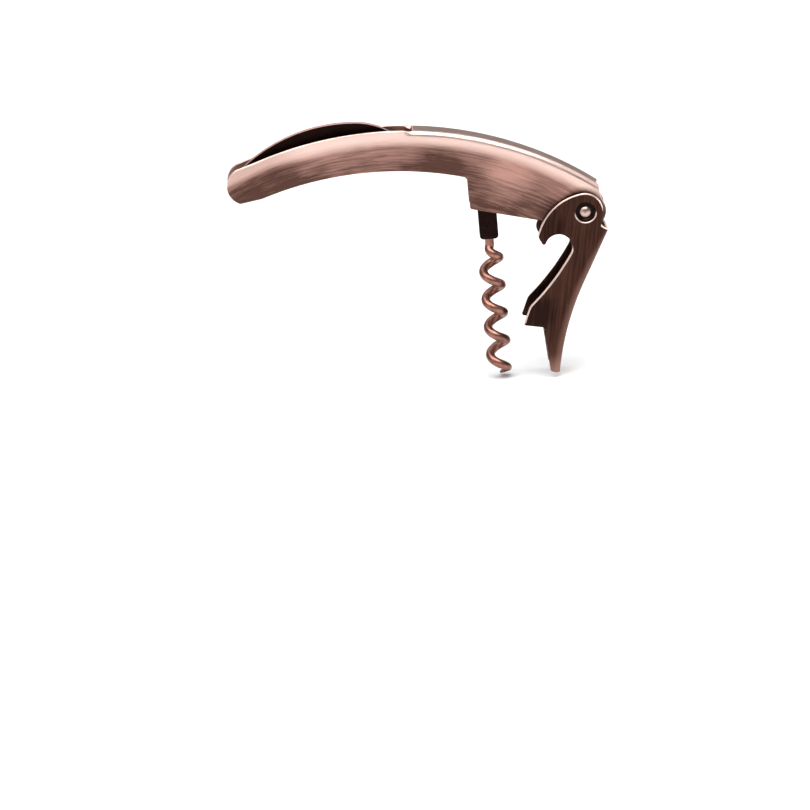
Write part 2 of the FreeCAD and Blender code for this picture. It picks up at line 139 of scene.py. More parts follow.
class CorkscrewCopper(bpy.types.PropertyGroup):
    # Pink of rubbed copper, also used as the painted highlight along the handle's top bend and on rims that
    # face up.
    bare_and_highlight: colour("Rubbed copper", "Pink copper where the patina is worn through", (0.90, 0.66, 0.58, 1.0))
    handle: colour("Handle copper", "Brushed copper of the handle", (0.47, 0.255, 0.21, 1.0))
    handle_dark: colour("Handle patina", "Patina left in the handle's brushing", (0.105, 0.052, 0.040, 1.0))
    # Much darker than the handle's copper, partly as painted shade for the dim reflections of the lever's
    # lengthwise brushing.
    lever: colour("Lever copper", "Brushed copper of the boot lever", (0.072, 0.031, 0.021, 1.0))
    lever_dark: colour("Lever patina", "Patina of the boot lever", (0.020, 0.009, 0.007, 1.0))
    dark: colour("Blackened copper", "Carrier, collars and knife", (0.014, 0.007, 0.0055, 1.0))
    # Deepest patina, also the colour of the painted shade on the handle round the lever's ear and under its
    # claw.
    soot_and_shade: colour("Deepest patina", "Patina in corners and folds", (0.008, 0.004, 0.0035, 1.0))
    collar: colour("Collar copper", "Blackened ring that the ears turn on", (0.014, 0.008, 0.0065, 1.0))
    rivet: colour("Rivet copper", "Dull pink of the lever rivet's heads", (0.50, 0.36, 0.32, 1.0))
    rivet_dark: colour("Rivet patina", "Clouding of the rivet's heads", (0.20, 0.11, 0.09, 1.0))
    worm: colour("Worm copper", "Plated wire of the worm", (0.34, 0.16, 0.12, 1.0))
    steel: colour("Spring steel", "Bare leaf that bears on the knife", (0.55, 0.53, 0.50, 1.0))
    steel_dark: colour("Steel stains", "Clouding of the spring", (0.20, 0.18, 0.16, 1.0))
    brass: colour("Brass", "Washers and spacers", (0.62, 0.44, 0.20, 1.0))
    brass_dark: colour("Brass stains", "Clouding of the washers and spacers", (0.20, 0.12, 0.05, 1.0))


class CorkscrewStage(bpy.types.PropertyGroup):
    azimuth: bpy.props.FloatProperty(
        name="Azimuth", description="Turn of the camera round the corkscrew",
        default=math.radians(-3.2), subtype="ANGLE"
    )
    elevation: bpy.props.FloatProperty(
        name="Elevation", description="Height of the camera above the horizon",
        default=math.radians(14.3), subtype="ANGLE"
    )
    roll: bpy.props.FloatProperty(
        name="Roll", description="Tilt of the camera about its own axis",
        default=math.radians(4.4), subtype="ANGLE"
    )
    distance: length("Distance", "From the camera to the lever rivet", 1.1, 0.1, 10.0)
    across: length("Picture width", "Width that the picture takes in at the object", 0.24545, 0.01, 5.0)
    floor: colour("Floor", "Colour of the floor and backdrop", (0.80, 0.80, 0.80, 1.0))


# ---------------------------------------------------------------- mesh work

def vertex_layer(mesh_data, name, values):
    """Writes one number per vertex as a named attribute."""
    layer = mesh_data.attributes.new(name, "FLOAT", "POINT")
    layer.data.foreach_set("value", values)


def points_along(edges, spacing):
    """Points on the edges, at most the spacing apart."""
    points = []
    for edge in edges:
        start, end = (v.co.copy() for v in edge.verts)
        count = max(1, math.ceil((end - start).length / spacing))
        points += [start.lerp(end, step / count) for step in range(count + 1)]
    return points


def tree_of(points):
    """A tree that finds the nearest of the points."""
    tree = KDTree(len(points))
    for index, point in enumerate(points):
        tree.insert(point, index)
    tree.balance()
    return tree


def round_rims(form, radius):
    """Rounds every sharp edge and returns a tree of points along where they ran."""
    sharp = [e for e in form.edges if e.is_manifold and e.calc_face_angle() > SHARP_ANGLE]
    rims = tree_of(points_along(sharp, RIM_SPACING * MM))
    bmesh.ops.bevel(
        form, geom=sharp, offset=radius, offset_type="OFFSET", segments=RIM_STEPS, profile=0.5,
        affect="EDGES", clamp_overlap=False,
    )
    return rims


def mesh_from(name, form):
    """The finished form as a mesh."""
    mesh_data = bpy.data.meshes.new(name + "_form")
    form.to_mesh(mesh_data)
    form.free()
    return mesh_data


def refined(node, body, slot, edge, wear):
    """A piece that stands for a CAD node: its facets joined, its rims rounded and its wear marked."""
    form = bmesh.new()
    form.from_mesh(frame["nodes"][node].data)
    bmesh.ops.remove_doubles(form, verts=form.verts, dist=CAD_WELD)
    bmesh.ops.dissolve_limit(form, angle_limit=FLAT_ANGLE, verts=form.verts, edges=form.edges)
    rims = round_rims(form, edge)
    mesh_data = mesh_from(node, form)
    reach = max(wear, NO_WEAR)
    worn = [max(0.0, 1.0 - rims.find(v.co)[2] / reach) for v in mesh_data.vertices]
    vertex_layer(mesh_data, "wear", worn)
    return placed(node + "_finish", mesh_data, body, slot, node)


# ---------------------------------------------------------------- sheet metal

def arc_points(start, via, end, spacing):
    """Points after start on the arc through via to end."""
    (ax, ay), (bx, by), (cx, cy) = start, via, end
    a, b, c = (x**2 + y**2 for x, y in (start, via, end))
    twice = 2 * (ax * (by - cy) + bx * (cy - ay) + cx * (ay - by))
    middle_x = (a * (by - cy) + b * (cy - ay) + c * (ay - by)) / twice
    middle_y = (a * (cx - bx) + b * (ax - cx) + c * (bx - ax)) / twice
    radius = math.hypot(ax - middle_x, ay - middle_y)
    turns = [math.atan2(y - middle_y, x - middle_x) for x, y in (start, via, end)]
    sweep = (turns[2] - turns[0]) % math.tau
    if (turns[1] - turns[0]) % math.tau > sweep:
        sweep -= math.tau
    steps = max(4, math.ceil(abs(sweep) * radius / spacing), math.ceil(abs(sweep) / ARC_STEP))
    angles = (turns[0] + sweep * step / steps for step in range(1, steps + 1))
    return [(middle_x + radius * math.cos(a), middle_y + radius * math.sin(a)) for a in angles]


def traced(start, steps, spacing=OUTLINE_STEP):
    """Points along an outline: a step (x, z) is a straight, and (via, end) is an arc through via."""
    points = [start]
    for step in steps:
        if isinstance(step[0], tuple):
            points += arc_points(points[-1], step[0], step[1], spacing)
        else:
            count = max(1, math.ceil(math.dist(points[-1], step) / spacing))
            near, far = Vector(points[-1]), Vector(step)
            points += [tuple(near.lerp(far, k / count)) for k in range(1, count + 1)]
    return points


def on_circle(radius, degrees, x=0.0, z=0.0):
    """The point of a circle at an angle, counted from +X towards +Z."""
    turn = math.radians(degrees)
    return (x + radius * math.cos(turn), z + radius * math.sin(turn))


def wound(loop, outer):
    """The loop without doubled points, turned so that the metal is on its left."""
    kept = [p for p, q in zip(loop, loop[1:] + loop[:1]) if math.dist(p, q) > 1e-4]
    area = sum(p[0] * q[1] - q[0] * p[1] for p, q in zip(kept, kept[1:] + kept[:1]))
    return kept if (area > 0) == outer else kept[::-1]


def inset(loop, gap):
    """The loop moved into the metal by the gap."""
    points = [Vector(p) for p in loop]
    moved = []
    for before, here, after in zip(points[-1:] + points[:-1], points, points[1:] + points[:1]):
        sides = [Vector((-d.y, d.x)) for d in ((here - before).normalized(), (after - here).normalized())]
        inward = (sides[0] + sides[1]).normalized()
        moved.append(tuple(here + inward * (gap / max(inward.dot(sides[0]), 0.5))))
    return moved


def within(points, loops):
    """For each point, whether it lies in the metal that the loops bound."""
    x, y = points[:, 0], points[:, 1]
    found = np.zeros(len(points), bool)
    for loop in loops:
        for (x0, y0), (x1, y1) in zip(loop, loop[1:] + loop[:1]):
            if y0 != y1:
                found ^= ((y0 > y) != (y1 > y)) & (x < (x1 - x0) * (y - y0) / (y1 - y0) + x0)
    return found


def blank_grid(loops, rows, spacing):
    """Points that fill the blank: one row at each given height, every other row half a step on."""
    low = min(p[0] for p in loops[0])
    high = max(p[0] for p in loops[0])
    count = math.ceil((high - low) / spacing)
    return np.array([
        (low + (k + 0.5 * (index % 2)) * spacing, row)
        for index, row in enumerate(rows)
        for k in range(count)
    ])


def rim_of(loops, edges, place):
    """Fine points along every rim, with how much it is rubbed and lit there: the extra brightness where it
    faces up is a painted highlight.

    A rim as sharp as a flush pin's is brushed over with its pin, so nothing is rubbed off it."""
    points, rubbed = [], []
    for loop, edge in zip(loops, edges):
        fine = traced(loop[0], loop[1:] + loop[:1], RIM_SPACING)[:-1]
        for here, beyond in zip(fine, inset(fine, -RIM_PROBE)):
            # Rims facing up get a painted highlight on top of their wear.
            facing = (place(*beyond, 0.0) - place(*here, 0.0)).normalized().z
            lit_share = min(max((facing - LIT_FACING[0]) / (LIT_FACING[1] - LIT_FACING[0]), 0.0), 1.0)
            points.append(Vector((*here, 0.0)))
            rubbed.append(0.0 if edge == FLUSH_EDGE else UNLIT_RIM_WEAR + (1 - UNLIT_RIM_WEAR) * lit_share)
    return tree_of(points), rubbed


def blank_triangles(inner_loops, fill):
    """The flat blank inside its loops cut into triangles.

    Gives its spots, its triangles as numbers of spots, and the spot of each point of the loops."""
    flat, links = [], []
    for loop in inner_loops:
        first = len(flat)
        flat += [Vector(p) for p in loop]
        links += [(first + k, first + (k + 1) % len(loop)) for k in range(len(loop))]
    rim_count = len(flat)
    flat += [Vector(p) for p in fill]
    spots, _, triangles, origins, _, _ = delaunay_2d_cdt(flat, links, [], 0, 1e-5, True)
    middles = np.array([sum((spots[k] for k in t), Vector((0, 0))) / len(t) for t in triangles])
    kept = [t for t, inside in zip(triangles, within(middles, inner_loops)) if inside]
    spot_of = {origin: k for k, found in enumerate(origins) for origin in found if origin < rim_count}
    return spots, kept, spot_of


def sheet_mesh(name, rims, place, gauge, wear, rows, spacing=1.0):
    """Sheet metal of an even gauge: the blank is meshed flat, then each point is put in its place.

    The rims are loops on the blank in millimetres, the outline first, each with its rounding. Place
    turns a point of the blank and a depth into the metal into a place on the part."""
    loops = [wound(loop, index == 0) for index, (loop, _) in enumerate(rims)]
    edges = [edge for _, edge in rims]
    rim_tree, rubbed = rim_of(loops, edges, place)
    inner_loops = [inset(loop, edge) for loop, edge in zip(loops, edges)]
    margins = []
    for loop, edge in zip(loops, edges):
        for gap in RIM_MARGINS:
            margins += inset(loop, edge + gap * wear)
    fill = np.concatenate([blank_grid(loops, rows, spacing), np.array(margins)])
    fill = fill[within(fill, inner_loops)]
    clear = edges[0] + 0.4 * wear
    fill = fill[np.array([rim_tree.find(Vector((*p, 0.0)))[2] > clear for p in fill])]
    spots, triangles, spot_of = blank_triangles(inner_loops, fill)

    form = bmesh.new()
    worn = form.verts.layers.float.new("wear")

    def vertex(point, depth, fresh):
        _, nearest, gap = rim_tree.find(Vector((*point, 0.0)))
        made = form.verts.new(place(point[0], point[1], depth))
        # The wear layer holds rim wear together with the painted highlight on rims that face up.
        made[worn] = fresh * rubbed[nearest] * max(0.0, 1.0 - max(gap - edges[0], 0.0) / wear)
        return made

    faces = {depth: [vertex(p, depth, fresh) for p in spots] for depth, fresh in ((0.0, 1.0), (gauge, 0.0))}
    for triangle in triangles:
        form.faces.new([faces[0.0][k] for k in triangle])
        form.faces.new([faces[gauge][k] for k in reversed(triangle)])
    corner = [math.pi / 2 * step / RIM_STEPS for step in range(1, RIM_STEPS + 1)]
    first = 0
    for loop, edge in zip(loops, edges):
        outer = [(edge * (1 - math.sin(a)), edge * (1 - math.cos(a))) for a in corner]
        profile = [(gap, depth, 1.0) for gap, depth in outer]
        profile += [(gap, gauge - depth, INNER_RIM_WEAR) for gap, depth in reversed(outer)]
        rings = [[faces[0.0][spot_of[first + k]] for k in range(len(loop))]]
        for gap, depth, fresh in profile:
            rings.append([vertex(p, depth, fresh) for p in inset(loop, gap)])
        rings.append([faces[gauge][spot_of[first + k]] for k in range(len(loop))])
        for upper, lower in zip(rings, rings[1:]):
            for k in range(len(loop)):
                after = (k + 1) % len(loop)
                form.faces.new((upper[after], upper[k], lower[k], lower[after]))
        first += len(loop)
    bmesh.ops.delete(form, geom=[v for v in form.verts if not v.link_faces], context="VERTS")
    bmesh.ops.recalc_face_normals(form, faces=form.faces)
    return mesh_from(name, form)


class Fold:
    """A channel folded over its back: a flat back, two round bends and two side walls."""

    def __init__(self, spine, half_width, bend, open_end=None):
        self.spine = spine
        self.half = half_width
        self.bend = bend
        self.flat = half_width - bend
        self.wall = self.flat + bend * math.pi / 2
        self.open_end = open_end

    def blank(self, x, z):
        """Where a point of the side view lies on the flat blank."""
        along, depth = self.spine.where(x, z)
        opened = self.open_end is not None and along < self.open_end
        if opened or depth >= self.bend:
            return (along, self.wall + depth - self.bend)
        return (along, self.flat + self.bend * math.acos(1 - max(depth, 0.0) / self.bend))

    def folded(self, reach, into):
        """Depth below the back and distance from the middle plane of a point of the section."""
        if reach <= self.flat:
            return into, reach
        if reach <= self.wall:
            turn = (reach - self.flat) / self.bend
            left = self.bend - into
            return self.bend - left * math.cos(turn), self.flat + left * math.sin(turn)
        return self.bend + reach - self.wall, self.half - into

    def place(self, along, across, into):
        """Where a point of the blank, at a depth into the metal, comes to lie on the part."""
        reach = abs(across)
        depth, out = self.folded(reach, into)
        if self.open_end is not None:
            opened = min(max((self.open_end - along) / OPENING_BLEND, 0.0), 1.0)
            opened *= opened * (3 - 2 * opened)
            depth += (self.bend + reach - self.wall - depth) * opened
            out += (self.half - into - out) * opened
        x, z = self.spine.at(along, depth)
        return joint_place("lever_hinge") + Vector((x, math.copysign(out, across), z)) * MM

    def rows(self, high):
        """Heights on the blank for its rows of points: close on the bends, wider on the flats."""
        steps = [self.flat + (self.wall - self.flat) * k / BEND_ROWS for k in range(BEND_ROWS + 1)]
        flats = [self.flat * k / FLAT_ROWS for k in range(FLAT_ROWS)]
        walls = [self.wall + WALL_ROW * k for k in range(1, math.ceil((high - self.wall) / WALL_ROW))]
        one_side = flats + steps + walls
        return sorted({-row for row in one_side} | set(one_side))


class ArchSpine:
    """A back that follows one arc, with the metal on the inside of it."""

    def __init__(self, x, z, radius):
        self.x, self.z, self.radius = x, z, radius

    def at(self, along, depth):
        """The point of the side view at a length along the back and a depth below it."""
        turn = along / self.radius
        left = self.radius - depth
        return self.x + left * math.sin(turn), self.z + left * math.cos(turn)

    def where(self, x, z):
        """How far along the back a point of the side view lies, and how deep below it."""
        turn = math.atan2(x - self.x, z - self.z)
        return self.radius * turn, self.radius - math.hypot(x - self.x, z - self.z)


class LeverSpine:
    """A back that runs straight down from its top, then bends off along an arc to its end."""

    def __init__(self, top, bend_start, end):
        self.top = Vector(top)
        self.start = Vector(bend_start)
        run = self.start - self.top
        self.straight = run.length
        self.down = run.normalized()
        self.inward = Vector((self.down.y, -self.down.x))
        chord = Vector(end) - self.start
        self.radius = chord.length_squared / (-2 * self.inward.dot(chord))
        self.middle = self.start - self.inward * self.radius
        self.first = math.atan2(self.inward.y, self.inward.x)

    def at(self, along, depth):
        """The point of the side view at a length along the back and a depth below it."""
        if along <= self.straight:
            return tuple(self.top + self.down * along + self.inward * depth)
        turn = self.first + (along - self.straight) / self.radius
        reach = self.radius + depth
        return self.middle.x + reach * math.cos(turn), self.middle.y + reach * math.sin(turn)

    def where(self, x, z):
        """How far along the back a point of the side view lies, and how deep below it."""
        off = Vector((x, z)) - self.top
        if off.dot(self.down) <= self.straight:
            return off.dot(self.down), off.dot(self.inward)
        away = Vector((x, z)) - self.middle
        turn = math.atan2(away.y, away.x) - self.first
        return self.straight + turn * self.radius, away.length - self.radius


def joint_place(name):
    """The place of a hinge's axis on the part."""
    return Vector(next(j for j in frame["joints"] if j["name"] == name)["pos_m"])


def half_width(node):
    """Half the width of a node that lies evenly about the middle plane, in millimetres."""
    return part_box(node)[1].y / MM


def mirrored(side):
    """A whole outline from its near half, closed straight across the back at both ends."""
    far = [(along, -across) for along, across in reversed(side)]
    joined = traced(side[-1], [far[0]])
    closed = traced(far[-1], [side[0]])
    return side + joined[1:-1] + far + closed[1:-1]


def circle_loop(fold, radius, x, z, count=48):
    """A round hole through a wall, on the near side and the far side."""
    near = [fold.blank(*on_circle(radius, 360 * k / count, x, z)) for k in range(count)]
    return near, [(along, -across) for along, across in near]


def handle_mesh(edge, wear):
    """The handle's blank: shallow tail, step, deep belly and round heel, slotted for the knife."""
    under_radius, under_rise, under_middle = 105.0, 17.9, -64.5
    heel, heel_x, slope = 5.45, 0.95, -14.9
    step, slot_end, tail_radius, tail_x, tail_z = -34.65, -50.0, 5.7, -101.5, 17.1
    corner, deepest = 3.9, 18.0

    def top(x):
        return ARCH_RISE - ARCH_RADIUS + math.sqrt(ARCH_RADIUS**2 - (x - ARCH_MIDDLE) ** 2)

    def under(x):
        return under_rise - under_radius + math.sqrt(under_radius**2 - (x - under_middle) ** 2)

    spine = ArchSpine(ARCH_MIDDLE, ARCH_RISE - ARCH_RADIUS, ARCH_RADIUS)
    slot_along = spine.where(slot_end, top(slot_end))[0]
    fold = Fold(spine, half_width("handle_channel"), HANDLE_BEND, slot_along)
    belly_end = on_circle(heel, slope - 90, heel_x)
    step_x = step + 0.7
    step_z = belly_end[1] + (step_x - belly_end[0]) * math.tan(math.radians(slope))
    side = traced(
        (corner, top(corner)),
        [
            ((4.65, 7.85), (4.95, 6.9)),
            ((5.0, 5.0), on_circle(heel, 28, heel_x)),
            (on_circle(heel, -35, heel_x), belly_end),
            (step_x, step_z),
            ((step + 0.15, step_z + 0.3), (step, step_z + 0.9)),
            (step, under(step) - 1.2),
            ((step - 0.3, under(step) - 0.35), (step - 1.1, under(step - 1.1))),
            ((-70.0, under(-70.0)), (-97.0, under(-97.0))),
            on_circle(tail_radius, -112, tail_x, tail_z),
            (on_circle(tail_radius, 180, tail_x, tail_z), on_circle(tail_radius, 112, tail_x, tail_z)),
            (-98.0, top(-98.0)),
            ((-74.0, top(-74.0)), (slot_end - SLOT_CORNER, top(slot_end - SLOT_CORNER))),
        ],
    )
    blank = [fold.blank(*p) for p in side]
    slot_top = fold.wall - fold.bend
    turn = SLOT_CORNER * (1 - math.sqrt(0.5))
    slot_round = ((slot_along - turn, slot_top - turn), (slot_along, slot_top - SLOT_CORNER))
    blank = traced(blank[0], blank[1:], 5.0)
    blank += arc_points(blank[-1], *slot_round, 0.4)
    rims = [(mirrored(blank), edge)]
    lever_rivet, worm_rivet = (1.54, 0.0, 0.0), (1.26, -29.5, 7.3)
    knife_rivet, spring_pin = (1.26, tail_x, tail_z), (1.01, -46.0, 22.6)
    for hole in (lever_rivet, worm_rivet, knife_rivet, spring_pin):
        rims += [(loop, FLUSH_EDGE) for loop in circle_loop(fold, *hole)]
    rows = fold.rows(fold.wall + deepest)
    return sheet_mesh("handle", rims, fold.place, HANDLE_GAUGE, wear, rows)


def lever_mesh(edge, wear):
    """The lever's blank: two ears, the cap claw, the boot's step and the tongue."""
    ear, mouth = (5.62, -0.25, 0.3), (4.1, -8.9, -10.2)
    top, collar_hole, widest = (6.75, -6.2), 3.05, 22.0
    spine = LeverSpine(top, (-1.9, -22.3), (-11.4, -50.2))
    fold = Fold(spine, half_width("boot_lever"), LEVER_BEND)

    def ear_point(degrees):
        return on_circle(ear[0], degrees, *ear[1:])

    def mouth_point(degrees):
        return on_circle(mouth[0], degrees, *mouth[1:])

    side = traced(
        top,
        [
            (4.7, -4.6),
            ear_point(-20),
            (ear_point(40), ear_point(100)),
            ((-8.38, 3.07), (-14.3, -4.4)),
            ((-14.7, -6.6), (-13.95, -8.15)),
            ((-13.3, -8.95), mouth_point(158)),
            (mouth_point(90), mouth_point(-5)),
            ((-4.95, -11.6), (-5.5, -12.6)),
            ((-11.4, -20.4), (-18.0, -27.1)),
            ((-18.8, -27.9), (-19.3, -28.75)),
            (-21.05, -32.8),
            ((-21.05, -33.5), (-20.35, -33.85)),
            (-15.9, -34.8),
            ((-15.4, -35.0), (-15.25, -35.5)),
            (-14.28, -48.2),
        ],
    )
    blank = [fold.blank(*p) for p in side]
    front, outer = blank[-1]
    blank += arc_points(blank[-1], (front + 0.5, outer - 0.25), (front + 0.8, outer - 0.9), 0.3)
    blank += arc_points(blank[-1], (front + 1.03, fold.wall - 1.2), (front + 1.1, fold.flat - 0.5), 0.5)
    rims = [(mirrored(blank), edge)]
    rims += [(loop, edge) for loop in circle_loop(fold, collar_hole, 0.0, 0.0, 64)]
    rows = fold.rows(fold.wall + widest)
    return sheet_mesh("lever", rims, fold.place, LEVER_GAUGE, wear, rows)


def knife_mesh(edge, wear):
    """The knife: a curved back, a serrated edge ground thin, and a round tang with its eye."""
    tang, pitch, depth, left_end, teeth = 4.2, 2.6, 0.55, 12.5, 12
    eye_radius, ground_from, ground_slope = 1.31, 4.6, 0.04
    hinge = joint_place("knife_hinge")
    steps = [
        ((15.5, 13.6), (35.0, 15.6)),
        ((41.82, 13.69), (47.6, 9.6)),
        ((48.2, 8.3), (47.0, 7.5)),
        (left_end + teeth * pitch, 5.9),
    ]
    for tooth in reversed(range(teeth)):
        left = left_end + tooth * pitch
        low = 4.5 + 1.4 * (tooth / teeth)
        steps.append(((left + pitch / 2, low + depth), (left, low)))
    steps += [
        (9.5, 4.6),
        (tang * 0.98, 1.4),
        ((tang * 0.35, -tang * 0.937), on_circle(tang, 180)),
        (on_circle(tang, 150), on_circle(tang, 118)),
    ]
    outline = traced(on_circle(tang, 118), steps)[:-1]
    eye = [on_circle(eye_radius, 360 * k / 40) for k in range(40)]

    def place(x, z, into):
        ground = min(max((z - ground_from - ground_slope * (x - left_end)) / GRIND_HEIGHT, 0.0), 1.0)
        if x < left_end - 1.0:
            ground = 1.0
        slim = EDGE_SHARE + (1 - EDGE_SHARE) * ground
        return hinge + Vector((x, (into - KNIFE_GAUGE / 2) * slim, z)) * MM

    rows = [-4.0 + 0.8 * k for k in range(26)]
    return sheet_mesh("knife", [(outline, edge), (eye, edge)], place, KNIFE_GAUGE, wear, rows, 1.1)


def worm_line(turn, coil, pitch, start, lead_in):
    """A point of the worm's middle line: down the axis to turn zero, then coiled."""
    spread = min(max(turn / lead_in, 0.0), 1.0)
    radius = coil * spread * spread * (3 - 2 * spread)
    angle = math.tau * turn + math.pi
    return Vector((radius * math.cos(angle), radius * math.sin(angle), -start - turn * pitch))


def worm_mesh():
    """The wire swept along its line as rings of vertices, closed at both ends."""
    wire, coil, pitch, start, lead_in = 1.4 * MM, 2.6 * MM, 8.8 * MM, 16.0 * MM, 0.5
    top, turns, point, point_turns = 3.68 * MM, 4.75, 0.18 * MM, 0.45
    first = (top - start) / pitch
    around, per_turn, glance = 24, 40, 0.001
    steps = round((turns - first) * per_turn)
    form = bmesh.new()
    rings = []
    side = Vector((0.0, 1.0, 0.0))
    for step in range(steps + 1):
        turn = first + (turns - first) * step / steps
        here = worm_line(turn, coil, pitch, start, lead_in)
        ahead = worm_line(turn + glance, coil, pitch, start, lead_in)
        behind = worm_line(turn - glance, coil, pitch, start, lead_in)
        forward = (ahead - behind).normalized()
        side = (side - forward * side.dot(forward)).normalized()
        up = forward.cross(side)
        drawn = min((turns - turn) / point_turns, 1.0)
        radius = point + (wire - point) * math.sqrt(drawn)
        rings.append([
            form.verts.new(here + (side * math.cos(a) + up * math.sin(a)) * radius)
            for a in (math.tau * k / around for k in range(around))
        ])
    for lower, upper in zip(rings, rings[1:]):
        for k in range(around):
            after = (k + 1) % around
            form.faces.new((lower[k], upper[k], upper[after], lower[after]))
    for ring in (rings[0], rings[-1]):
        form.faces.new(ring)
    bmesh.ops.recalc_face_normals(form, faces=form.faces)
    mesh_data = mesh_from("worm", form)
    vertex_layer(mesh_data, "wear", [0.0] * len(mesh_data.vertices))
    return mesh_data


# ---------------------------------------------------------------- finishing a piece

def placed(name, mesh_data, body, slot, *stands_for):
    """Links a finished mesh, shades it smooth, ties it to its body and hides the CAD nodes that it stands
    for; the slot is not used.
    """
    mesh_data.shade_smooth()
    mesh_data.set_sharp_from_angle(angle=SMOOTH_ANGLE)
    piece = bpy.data.objects.new(name, mesh_data)
    bpy.context.scene.collection.objects.link(piece)
    weighted = piece.modifiers.new("even_shading", "WEIGHTED_NORMAL")
    weighted.keep_sharp = True
    weighted.weight = 90
    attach(piece, body)
    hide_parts(*stands_for)
    return piece


# ---------------------------------------------------------------- shader groups

def new_group(name, inputs, outputs):
    """A shader node group with named sockets, and its input and output nodes."""
    tree = bpy.data.node_groups.new(name, "ShaderNodeTree")
    for label, kind, default in inputs:
        socket = tree.interface.new_socket(label, in_out="INPUT", socket_type=kind)
        if default is not None:
            socket.default_value = default
    for label, kind in outputs:
        tree.interface.new_socket(label, in_out="OUTPUT", socket_type=kind)
    return tree, tree.nodes.new("NodeGroupInput").outputs, tree.nodes.new("NodeGroupOutput").inputs


def feed(tree, socket, value):
    """Links a socket to another one, or sets it."""
    if isinstance(value, bpy.types.NodeSocket):
        tree.links.new(value, socket)
    else:
        socket.default_value = value


def add(tree, kind, links=(), **settings):
    """A node with its settings, and its inputs linked or set."""
    node = tree.nodes.new(kind)
    for name, value in settings.items():
        setattr(node, name, value)
    for key, value in dict(links).items():
        feed(tree, node.inputs[key], value)
    return node


def maths(tree, operation, a, b=0.0, third=0.0, clamp=False):
    """The result of one sum."""
    links = {0: a, 1: b, 2: third}
    return add(tree, "ShaderNodeMath", links, operation=operation, use_clamp=clamp).outputs[0]


def measured(tree, place, direction):
    """How far a place lies along a direction, in millimetres."""
    scaled = tuple(part / MM for part in direction)
    return add(tree, "ShaderNodeVectorMath", {0: place, 1: scaled}, operation="DOT_PRODUCT").outputs["Value"]


def blend_colours(tree, factor, a, b):
    """The first colour where the factor is zero, and the second where it is one."""
    links = {"Factor": factor, COLOUR_A: a, COLOUR_B: b}
    return add(tree, "ShaderNodeMix", links, data_type="RGBA").outputs[COLOUR_RESULT]


def ramp(tree, value, low, high, reverse=False):
    """Zero at low, one at high, smooth between, or the other way round."""
    ends = (1.0, 0.0) if reverse else (0.0, 1.0)
    links = {"Value": value, "From Min": low, "From Max": high, "To Min": ends[0], "To Max": ends[1]}
    return add(tree, "ShaderNodeMapRange", links, interpolation_type="SMOOTHSTEP").outputs["Result"]


def noise(tree, vector, scale, detail, rough):
    """Cloudy noise between zero and one."""
    links = {"Vector": vector, "Scale": scale, "Detail": detail, "Roughness": rough}
    return add(tree, "ShaderNodeTexNoise", links).outputs["Fac"]


def stretched(tree, vector, scale):
    """A place with each axis drawn out by its own share."""
    links = {0: vector, 1: scale}
    return add(tree, "ShaderNodeVectorMath", links, operation="MULTIPLY").outputs[0]


def arc_group():
    """Place on a curved piece: millimetres along its arc, millimetres below it, and across."""
    inputs = [
        ("Centre X", "NodeSocketFloat", 0.0),
        ("Centre Z", "NodeSocketFloat", 0.0),
        ("Radius", "NodeSocketFloat", 1.0),
    ]
    outputs = [("Place", "NodeSocketVector"), ("Along", "NodeSocketFloat"), ("Below", "NodeSocketFloat")]
    tree, given, out = new_group("Place along an arc", inputs, outputs)
    place = add(tree, "ShaderNodeTexCoord").outputs["Object"]
    split = add(tree, "ShaderNodeSeparateXYZ", {0: place}).outputs
    x = maths(tree, "SUBTRACT", split["X"], given["Centre X"])
    z = maths(tree, "SUBTRACT", split["Z"], given["Centre Z"])
    squares = maths(tree, "ADD", maths(tree, "MULTIPLY", x, x), maths(tree, "MULTIPLY", z, z))
    reach = maths(tree, "SQRT", squares)
    turn = maths(tree, "ARCTAN2", x, z)
    along = maths(tree, "MULTIPLY", maths(tree, "MULTIPLY", turn, given["Radius"]), 1 / MM)
    below = maths(tree, "MULTIPLY", maths(tree, "SUBTRACT", given["Radius"], reach), 1 / MM)
    across = maths(tree, "MULTIPLY", split["Y"], 1 / MM)
    joined = add(tree, "ShaderNodeCombineXYZ", {"X": along, "Y": across, "Z": below}).outputs[0]
    tree.links.new(joined, out["Place"])
    tree.links.new(along, out["Along"])
    tree.links.new(below, out["Below"])
    return tree


def brushing_group():
    """Fine brush marks and broader patina streaks that run along the first axis of a place."""
    inputs = [
        ("Place", "NodeSocketVector", None),
        ("Fineness", "NodeSocketFloat", 5.0),
        ("Length", "NodeSocketFloat", 12.0),
    ]
    outputs = [("Marks", "NodeSocketFloat"), ("Streaks", "NodeSocketFloat"), ("Patches", "NodeSocketFloat")]
    tree, given, out = new_group("Brush marks", inputs, outputs)
    squash = maths(tree, "DIVIDE", 1.0, given["Length"])
    long_scale = add(tree, "ShaderNodeCombineXYZ", {"X": squash, "Y": 1.0, "Z": 1.0}).outputs[0]
    drawn_out = stretched(tree, given["Place"], long_scale)
    fine = noise(tree, drawn_out, given["Fineness"], 4.0, 0.7)
    broad = noise(tree, drawn_out, maths(tree, "MULTIPLY", given["Fineness"], 0.4), 3.0, 0.6)
    patches = noise(tree, given["Place"], 0.09, 2.0, 0.5)
    tree.links.new(ramp(tree, fine, 0.3, 0.7), out["Marks"])
    tree.links.new(ramp(tree, broad, 0.36, 0.66), out["Streaks"])
    tree.links.new(ramp(tree, patches, 0.36, 0.64), out["Patches"])
    return tree


